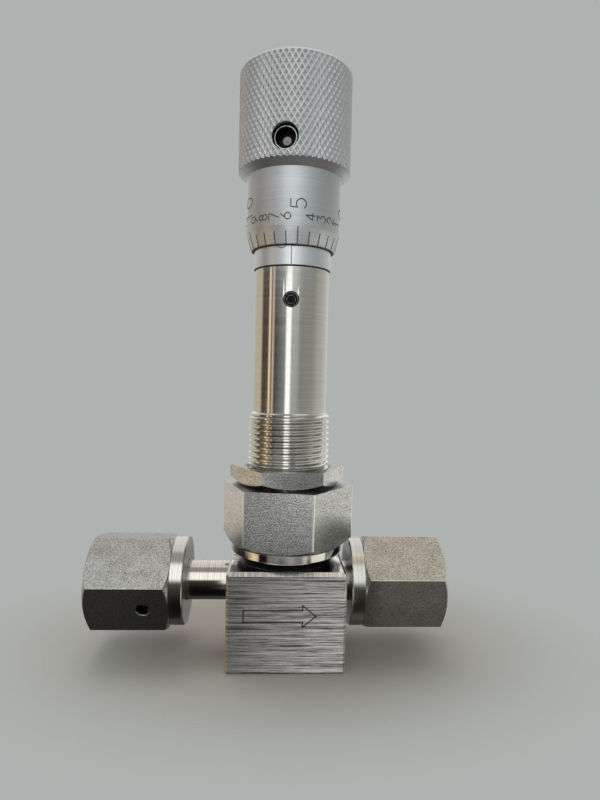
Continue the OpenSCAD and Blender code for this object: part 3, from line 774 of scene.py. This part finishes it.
# Strokes of each numeral in a box GLYPH_WIDTH wide and 1 high. GLYPH_STEP leads from one numeral to the next.
GLYPHS = {
    "0": [arc((0.32, 0.5), 0.5, 90, 450, 20, 0.62)],
    "1": [[(0.10, 0.78), (0.34, 1.0), (0.34, 0.0)]],
    "2": [arc((0.32, 0.70), 0.30, 170, -35, 10) + [(0.02, 0.0), (0.64, 0.0)]],
    "3": [[(0.04, 1.0), (0.58, 1.0), (0.28, 0.62)] + arc((0.28, 0.31), 0.31, 90, -150, 12)],
    "4": [[(0.46, 0.0), (0.46, 1.0), (0.0, 0.28), (0.64, 0.28)]],
    "5": [[(0.58, 1.0), (0.10, 1.0), (0.06, 0.56)] + arc((0.29, 0.32), 0.32, 120, -140, 12)],
    "6": [[(0.52, 1.0), (0.20, 0.62)] + arc((0.31, 0.31), 0.31, 150, -210, 18)],
    "7": [[(0.0, 1.0), (0.62, 1.0), (0.20, 0.0)]],
    "8": [arc((0.32, 0.76), 0.24, -90, 270, 14), arc((0.32, 0.27), 0.27, 90, 450, 16)],
    "9": [[(0.12, 0.0), (0.44, 0.38)] + arc((0.33, 0.69), 0.31, -30, 330, 18)],
}
GLYPH_WIDTH = 0.64
GLYPH_STEP = 0.92


class Marking:
    """Thin filled strokes laid on a surface.

    lay(u, v, lift) gives the point u across and v up, lift above the surface."""

    def __init__(self, name, lay, width):
        self.name = name
        self.lay = lay
        self.half = width / 2
        self.points = []
        self.faces = []

    def stroke(self, corners):
        """A flat band along a path, a hair proud of the surface, in steps short enough to follow a curve."""
        proud = 0.012 * MM
        deep = -0.03 * MM
        longest = 0.35 * MM
        path = [Vector(corners[0])]
        for start, end in zip(corners, corners[1:]):
            leg = Vector(end) - Vector(start)
            steps = math.ceil(leg.length / longest)
            path += [Vector(start) + leg * (k + 1) / steps for k in range(steps)]
        first = len(self.points)
        last = len(path) - 1
        for k, here in enumerate(path):
            along = (path[min(k + 1, last)] - path[max(k - 1, 0)]).normalized()
            side = Vector((-along.y, along.x)) * self.half
            reach = along * self.half * ((k == last) - (k == 0))
            for way, lift in ((-1, deep), (1, deep), (1, proud), (-1, proud)):
                spot = here + side * way + reach
                self.points.append(self.lay(spot.x, spot.y, lift))
        for k in range(last):
            a = first + 4 * k
            for i in range(4):
                j = (i + 1) % 4
                self.faces.append((a + i, a + j, a + 4 + j, a + 4 + i))
        end = first + 4 * last
        self.faces += [(first, first + 1, first + 2, first + 3), (end + 3, end + 2, end + 1, end)]

    def number(self, text, centre, height):
        """A number that reads upwards, with its feet towards +u, centred on centre."""
        advance = GLYPH_STEP * height
        length = (len(text) - 1) * advance + GLYPH_WIDTH * height
        for i, digit in enumerate(text):
            start = centre[1] - length / 2 + i * advance
            for path in GLYPHS[digit]:
                self.stroke([(centre[0] - (y - 0.5) * height, start + x * height) for x, y in path])

    def build(self, body):
        """Makes the marks one piece that moves with body."""
        piece = mesh_piece(self.name, self.points, self.faces, MATERIALS["engraving"])
        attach(piece, body)


def on_turned(radius_at):
    """Lays (turn in radians times the radius, height) on a surface of revolution about the stem."""
    def lay(u, v, lift):
        radius = radius_at(v)
        return around(radius + lift, math.degrees(u / radius), v)
    return lay


def dial():
    """The 25 divisions and their numbers round the thimble."""
    taper_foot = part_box("vernier_handle")[0].z
    taper_top = taper_foot + DIAL_TAPER

    def radius_at(v):
        share = min(max((v - taper_foot) / (taper_top - taper_foot), 0), 1)
        return DIAL_FOOT_R + (DIAL_TOP_R - DIAL_FOOT_R) * share

    lines = Marking("dial_lines", on_turned(radius_at), 0.19 * MM)
    numbers = Marking("dial_numbers", on_turned(lambda v: DIAL_TOP_R), 0.21 * MM)
    start = taper_foot + 0.16 * MM
    for division in range(DIVISIONS):
        turn = math.radians(INDEX_TURN + (READING - division) * 360 / DIVISIONS)
        # How far the line stops short of the taper's top, how far the number stands above it, and its size
        if division % 5 == 0:
            short, above, size = 0.55 * MM, 4.1 * MM, 3.2 * MM
        elif division > 9:
            short, above, size = 1.45 * MM, 2.1 * MM, 1.7 * MM
        else:
            short, above, size = 1.45 * MM, 1.55 * MM, 2.1 * MM
        end = taper_top - short
        lines.stroke([(turn * radius_at(start), start), (turn * radius_at(end), end)])
        numbers.number(str(division), (turn * DIAL_TOP_R, taper_top + above), size)
    lines.build("handle")
    numbers.build("handle")


def grease_ring(name, body, height, corners):
    """A thin dark ring of painted shade through (radius, rise over height) corners."""
    sides = len(corners)
    count = 120
    points = [around(radius, 360 * k / count, height + rise)
              for k in range(count) for radius, rise in corners]
    faces = []
    for k in range(count):
        here = [sides * k + i for i in range(sides)]
        there = [sides * ((k + 1) % count) + i for i in range(sides)]
        faces += band(here, there)
    # The dark filler's material colours this ring as painted shade.
    piece = mesh_piece(name, points, faces, MATERIALS["engraving"])
    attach(piece, body)


def gap_seals():
    """Dark rings that paint the shade in the gap between thimble and sleeve, and under the sleeve's foot."""
    sleeve_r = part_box("index_sleeve")[1].x
    mouth_r = 9.02 * MM
    inner_r = sleeve_r + 0.02 * MM
    foot_r = sleeve_r - 0.35 * MM
    grease_ring("thimble_gap_shade", "handle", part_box("vernier_handle")[0].z,
                [(inner_r, 0.02 * MM), (mouth_r, 0.02 * MM), (mouth_r, -0.03 * MM),
                 (sleeve_r + 0.1 * MM, -0.16 * MM), (inner_r, -0.16 * MM)])
    grease_ring("sleeve_foot_shade", "root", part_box("bonnet")[1].z,
                [(foot_r, 0.01 * MM), (sleeve_r - 0.03 * MM, -0.01 * MM),
                 (sleeve_r - 0.25 * MM, -0.30 * MM), (foot_r, -0.30 * MM)])


def sleeve_scale():
    """The index line on the sleeve, and a mark for each turn that the opening handle uncovers."""
    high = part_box("index_sleeve")[1]
    barrel_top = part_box("bonnet")[1].z
    radius = high.x
    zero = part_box("vernier_handle")[0].z - LEAD * READING / DIVISIONS
    marks = Marking("sleeve_scale", on_turned(lambda v: radius), 0.16 * MM)
    centre = math.radians(INDEX_TURN) * radius
    marks.stroke([(centre, barrel_top + 0.15 * MM), (centre, high.z - 0.6 * MM)])
    for turn in range(TURNS + 1):
        height = zero + turn * LEAD
        major = turn % 5 == 0
        reach = (1.7 if major else 1.0) * MM
        marks.stroke([(centre, height), (centre + reach, height)])
        if major:
            marks.number(str(turn), (centre - 2.1 * MM, height + 0.1 * MM), 1.8 * MM)
    marks.build("root")


def flow_arrow():
    """The outline of an arrow in the direction of flow, on the front of the block."""
    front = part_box("valve_body")[0].y
    shaft_foot = 11.1 * MM
    shaft_top = 13.65 * MM
    tail = -8.95 * MM
    neck = 3.4 * MM
    tip = 6.2 * MM
    barb = 2.28 * MM
    middle = (shaft_foot + shaft_top) / 2
    outline = [(tail, shaft_foot), (neck, shaft_foot), (neck, middle - barb), (tip, middle),
               (neck, middle + barb), (neck, shaft_top), (tail, shaft_top), (tail, shaft_foot)]
    marks = Marking("flow_arrow", lambda u, v, lift: Vector((u, front - lift, v)), 0.27 * MM)
    for start, end in zip(outline, outline[1:]):
        marks.stroke([start, end])
    marks.build("root")


BACKDROP = (0.425, 0.452, 0.440)
# What reflections see all round, ring by ring from the floor up: the elevations in degrees between which the
# ring takes over from the one below it, and its linear colours by degrees from the front towards +X
RINGS = [
    (-90, -89, [
        (-180, grey(0.06)), (-128, grey(0.06)), (-112, grey(0.012)), (10, grey(0.012)),
        (38, (0.11, 0.085, 0.075)), (112, (0.13, 0.115, 0.10)), (150, grey(0.06)), (180, grey(0.06))]),
    (-40, -33, [
        (-180, grey(0.42)), (-128, grey(0.42)), (-112, grey(0.012)), (-90, (0.35, 0.26, 0.15)),
        (-84, (0.90, 0.66, 0.36)), (-72, (1.30, 1.08, 0.70)), (-68, (0.90, 0.75, 0.50)), (-64, grey(0.10)),
        (-55, grey(0.34)), (-28, grey(0.34)), (-16, grey(0.012)), (-5.4, grey(0.012)),
        (-3.6, grey(0.26, 0.02)), (1, grey(0.34, 0.02)), (5.5, grey(0.66, 0.02)), (13, grey(0.72, 0.02)),
        (22, (0.10, 0.080, 0.070)), (40, (0.12, 0.10, 0.09)), (52, (0.80, 0.79, 0.66)),
        (78, (0.80, 0.79, 0.66)), (92, (0.30, 0.28, 0.24)), (112, (0.19, 0.165, 0.145)), (126, grey(0.42)),
        (180, grey(0.42))]),
    (-23, -18.5, [
        (-180, grey(0.30)), (-128, (0.17, 0.15, 0.10)), (-104, (0.28, 0.22, 0.15)), (-80, (0.26, 0.19, 0.10)),
        (-74, (0.80, 0.60, 0.36)), (-64, (1.30, 1.06, 0.70)), (-54, (1.30, 1.10, 0.74)),
        (-49, (0.20, 0.13, 0.09)), (-45, (0.09, 0.055, 0.045)), (-40, (0.04, 0.030, 0.024)),
        (-27, (0.035, 0.030, 0.026)), (-22, (0.15, 0.15, 0.145)), (-17, (0.15, 0.15, 0.145)),
        (-13, (0.022, 0.026, 0.025)), (-1, (0.028, 0.030, 0.029)), (5, (0.10, 0.086, 0.080)),
        (16, (0.11, 0.088, 0.078)), (23, (0.25, 0.23, 0.19)), (30, (0.28, 0.25, 0.22)),
        (35, (0.95, 0.89, 0.79)), (55, (1.10, 1.08, 0.93)), (74, (1.20, 1.18, 1.02)),
        (90, (1.10, 1.09, 0.95)), (106, (0.75, 0.76, 0.65)), (122, (0.20, 0.20, 0.18)), (180, grey(0.30))]),
    (-18, -15, [
        (-180, grey(0.85)), (-146, (0.88, 0.84, 0.74)), (-128, (1.06, 0.97, 0.77)),
        (-106, (1.06, 0.91, 0.68)), (-96, (0.35, 0.27, 0.16)), (-88, (0.35, 0.27, 0.16)),
        (-82, (1.10, 0.86, 0.52)), (-70, (1.20, 1.00, 0.68)), (-65, (0.18, 0.15, 0.12)),
        (-50, (0.20, 0.185, 0.165)), (-22, (0.25, 0.25, 0.245)), (-11, (0.22, 0.22, 0.22)),
        (-5.5, (0.11, 0.115, 0.12)), (14, (0.12, 0.12, 0.12)), (55, (0.62, 0.62, 0.58)),
        (88, (1.15, 1.14, 1.03)), (112, (1.28, 1.28, 1.20)), (134, grey(1.30)), (180, grey(0.85))]),
    (-10.5, -7.5, [
        (-180, (0.56, 0.55, 0.49)), (-132, (0.56, 0.54, 0.45)), (-122, (0.62, 0.54, 0.43)),
        (-105, (0.62, 0.54, 0.42)), (-99, (0.085, 0.065, 0.045)), (-74, (0.075, 0.058, 0.040)),
        (-72, (1.30, 1.02, 0.77)), (-68, (1.30, 1.02, 0.77)), (-66, (0.22, 0.14, 0.085)),
        (-61, (0.22, 0.14, 0.085)), (-59, (0.85, 0.68, 0.49)), (-56, (0.85, 0.68, 0.49)),
        (-54, (0.070, 0.058, 0.045)), (-46, (0.075, 0.071, 0.064)), (-38, (0.130, 0.134, 0.138)),
        (-27, (0.20, 0.213, 0.21)), (0, (0.40, 0.41, 0.40)), (6, (0.50, 0.51, 0.50)),
        (18, (0.45, 0.455, 0.435)), (30, (0.29, 0.285, 0.26)), (70, (0.32, 0.32, 0.275)),
        (90, (0.46, 0.465, 0.41)), (112, (0.54, 0.55, 0.49)), (150, grey(0.68)), (180, (0.56, 0.55, 0.49))]),
    (10.5, 14.5, [
        (-180, grey(1.05)), (-152, grey(1.0)), (-138, grey(0.53)), (-98, (0.38, 0.375, 0.365)),
        (-72, (0.42, 0.42, 0.42)), (-58, (0.60, 0.62, 0.63)), (-38, (0.76, 0.79, 0.80)),
        (-26, (1.25, 1.28, 1.27)), (-14, (1.50, 1.52, 1.50)), (-4, (1.45, 1.47, 1.45)),
        (12, (1.15, 1.17, 1.17)), (24, (0.88, 0.92, 0.93)), (36, (0.56, 0.61, 0.64)),
        (55, (0.43, 0.47, 0.50)), (76, (0.24, 0.27, 0.28)), (104, (0.31, 0.33, 0.33)), (140, grey(0.54)),
        (154, grey(1.0)), (180, grey(1.05))]),
    (54.5, 63.5, [
        (-180, grey(0.96)), (-125, grey(0.85)), (-90, (0.42, 0.40, 0.37)), (0, (0.38, 0.36, 0.33)),
        (35, (0.86, 0.77, 0.62)), (75, (1.25, 1.10, 0.88)), (115, grey(0.90)), (180, grey(0.96))]),
]
# Cards in front of the valve, out of the picture: distance, then where each starts, is full, ends and is gone
# across and upwards, all in mm, and its colour
CARDS = {
    "light_card": (126, (-39, -31, -8, 5), (8, 14, 103, 112), (1.50, 1.53, 1.50)),
    "dark_card_low": (125, (8, 13, 36, 44), (-10, -5, 24, 32), (0.05, 0.05, 0.05)),
    "dark_card_left": (25, (-31, -29.5, -16.4, -15), (-60, -55, 21, 25.5), (0.004, 0.003, 0.002)),
    "dark_card_right": (25, (15.6, 16.2, 21, 23), (-60, -55, 15.5, 22), (0.02, 0.017, 0.013)),
}


def studio():
    """The pale backdrop, and the bright and dark cards that the metal reflects."""
    world = bpy.data.worlds.new("studio")
    world.use_nodes = True
    bpy.context.scene.world = world
    graph = Graph(world.node_tree)
    direction = graph.add("ShaderNodeTexCoord").outputs["Generated"]
    parts = graph.add("ShaderNodeSeparateXYZ", {0: direction}).outputs
    turn = graph.math("ARCTAN2", parts["X"], graph.math("MULTIPLY", parts["Y"], -1.0))
    share = graph.math("ADD", graph.math("DIVIDE", turn, 2 * math.pi), 0.5)
    seen = None
    for start, end, stops in RINGS:
        ring = graph.ramp(share, [((degrees + 180) / 360, colour) for degrees, colour in stops])
        over = graph.step(parts["Z"], math.sin(math.radians(start)), math.sin(math.radians(end)))
        seen = graph.mix(over, seen, ring) if seen else ring
    path = graph.add("ShaderNodeLightPath").outputs
    direct = graph.math("MAXIMUM", path["Is Camera Ray"], path["Is Transmission Ray"])
    colour = graph.mix(direct, seen, (*BACKDROP, 1))
    background = graph.add("ShaderNodeBackground", {"Color": colour, "Strength": 1.0})
    graph.surface(background.outputs[0], "ShaderNodeOutputWorld")


def hide_card(card):
    """Leaves a card to be seen in reflections alone."""
    card.visible_camera = False
    card.visible_diffuse = False
    card.visible_transmission = False
    card.visible_shadow = False


def front_card():
    """A pale card that lies in front of the valve, out of the picture, seen in what faces down to it."""
    near = -90 * MM
    far = -270 * MM
    half = 200 * MM
    material, graph = new_graph("front_card")
    graph.surface(graph.glow((0.50, 0.51, 0.51)))
    hide_card(mesh_piece("front_card", [(-half, far, 0), (half, far, 0), (half, near, 0), (-half, near, 0)],
                         [(0, 1, 2, 3)], material))


def standing_cards():
    """The soft-edged light and dark cards that stand in front of the valve."""
    for name, (distance, across, up, colour) in CARDS.items():
        material, graph = new_graph(name)
        coord = graph.add("ShaderNodeTexCoord").outputs["Object"]
        parts = graph.add("ShaderNodeSeparateXYZ", {0: coord}).outputs
        share = 1.0
        for value, edges in ((parts["X"], across), (parts["Z"], up)):
            start, full, end, gone = (edge * MM for edge in edges)
            share = graph.math("MULTIPLY", share, graph.step(value, start, full))
            share = graph.math("MULTIPLY", share, graph.step(value, end, gone, 1.0, 0.0))
        glow = graph.glow(colour)
        clear = graph.add("ShaderNodeBsdfTransparent").outputs[0]
        graph.surface(graph.add("ShaderNodeMixShader", {0: share, 1: clear, 2: glow}).outputs[0])
        left, right, low, high = across[0] * MM, across[3] * MM, up[0] * MM, up[3] * MM
        y = -distance * MM
        hide_card(mesh_piece(name, [(left, y, low), (right, y, low), (right, y, high), (left, y, high)],
                             [(0, 1, 2, 3)], material))


def floor():
    """A pale floor, a little darker and warmer near the valve as painted shade, that melts into the backdrop
    away from the valve.
    """
    reach = 200 * MM
    full = 14 * MM
    end = 54 * MM
    bm = bmesh.new()
    bmesh.ops.create_circle(bm, cap_ends=True, radius=reach, segments=96)
    material, graph = new_graph("floor")
    middle = graph.add("ShaderNodeVectorMath", {0: graph.place((0.62, 1.0, 1.0)), 1: (0, 6 * MM, 0)},
                       operation="DISTANCE")
    gone = graph.step(middle.outputs["Value"], full, end)
    paper = graph.noise(graph.place(), 350.0, 3.0, 0.5)
    # The floor's tone near the valve, darker and warmer than the backdrop, is painted shade.
    tone = graph.mix(paper, (0.365, 0.345, 0.305, 1), (0.385, 0.363, 0.320, 1))
    solid = graph.add("ShaderNodeBsdfDiffuse", {"Color": tone}).outputs[0]
    clear = graph.add("ShaderNodeBsdfTransparent").outputs[0]
    graph.surface(graph.add("ShaderNodeMixShader", {0: gone, 1: solid, 2: clear}).outputs[0])
    piece = new_piece("floor", bm, material)
    piece.visible_glossy = False


def lamp():
    """One broad soft lamp overhead, which gives the floor its shadow."""
    light = bpy.data.lights.new("overhead", "AREA")
    light.shape = "DISK"
    light.size = 260 * MM
    light.energy = 0.55
    piece = bpy.data.objects.new("overhead", light)
    bpy.context.scene.collection.objects.link(piece)
    piece.visible_glossy = False
    piece.location = (-80 * MM, 70 * MM, 420 * MM)
    aim = Vector((0, 0, 40 * MM)) - piece.location
    piece.rotation_euler = aim.to_track_quat("-Z", "Y").to_euler()


def camera():
    """The camera of the photograph."""
    data = bpy.data.cameras.new("camera")
    data.sensor_fit = "AUTO"
    data.sensor_width = SENSOR_MM
    data.lens = SENSOR_MM * FOCAL_PX / FRAME_HEIGHT_PX
    data.clip_start = 5 * MM
    data.clip_end = 10
    piece = bpy.data.objects.new("camera", data)
    bpy.context.scene.collection.objects.link(piece)
    x_turn, y_turn, z_turn = CAMERA_TURNS
    turned = (Matrix.Rotation(x_turn, 3, "X") @ Matrix.Rotation(y_turn, 3, "Y")
              @ Matrix.Rotation(z_turn, 3, "Z"))
    right, ahead, up = turned
    axes = Matrix((right, up, -ahead)).transposed()
    piece.matrix_world = Matrix.Translation(CAMERA_AT) @ axes.to_4x4()
    bpy.context.scene.camera = piece


camera()
studio()
floor()
front_card()
standing_cards()
lamp()
finish_nodes()
body()
bonnet_nut()
broken_edges("panel_nut", 0.10 * MM, "turned_steel")
index_sleeve()
broken_edges("sleeve_screw", 0.10 * MM, "worn_edge")
handle_screw()
bonnet()
end_nut("inlet_nut", -1, False)
end_nut("outlet_nut", 1, True)
handle()
dial()
gap_seals()
sleeve_scale()
flow_arrow()
bpy.context.scene.view_settings.view_transform = "Standard"
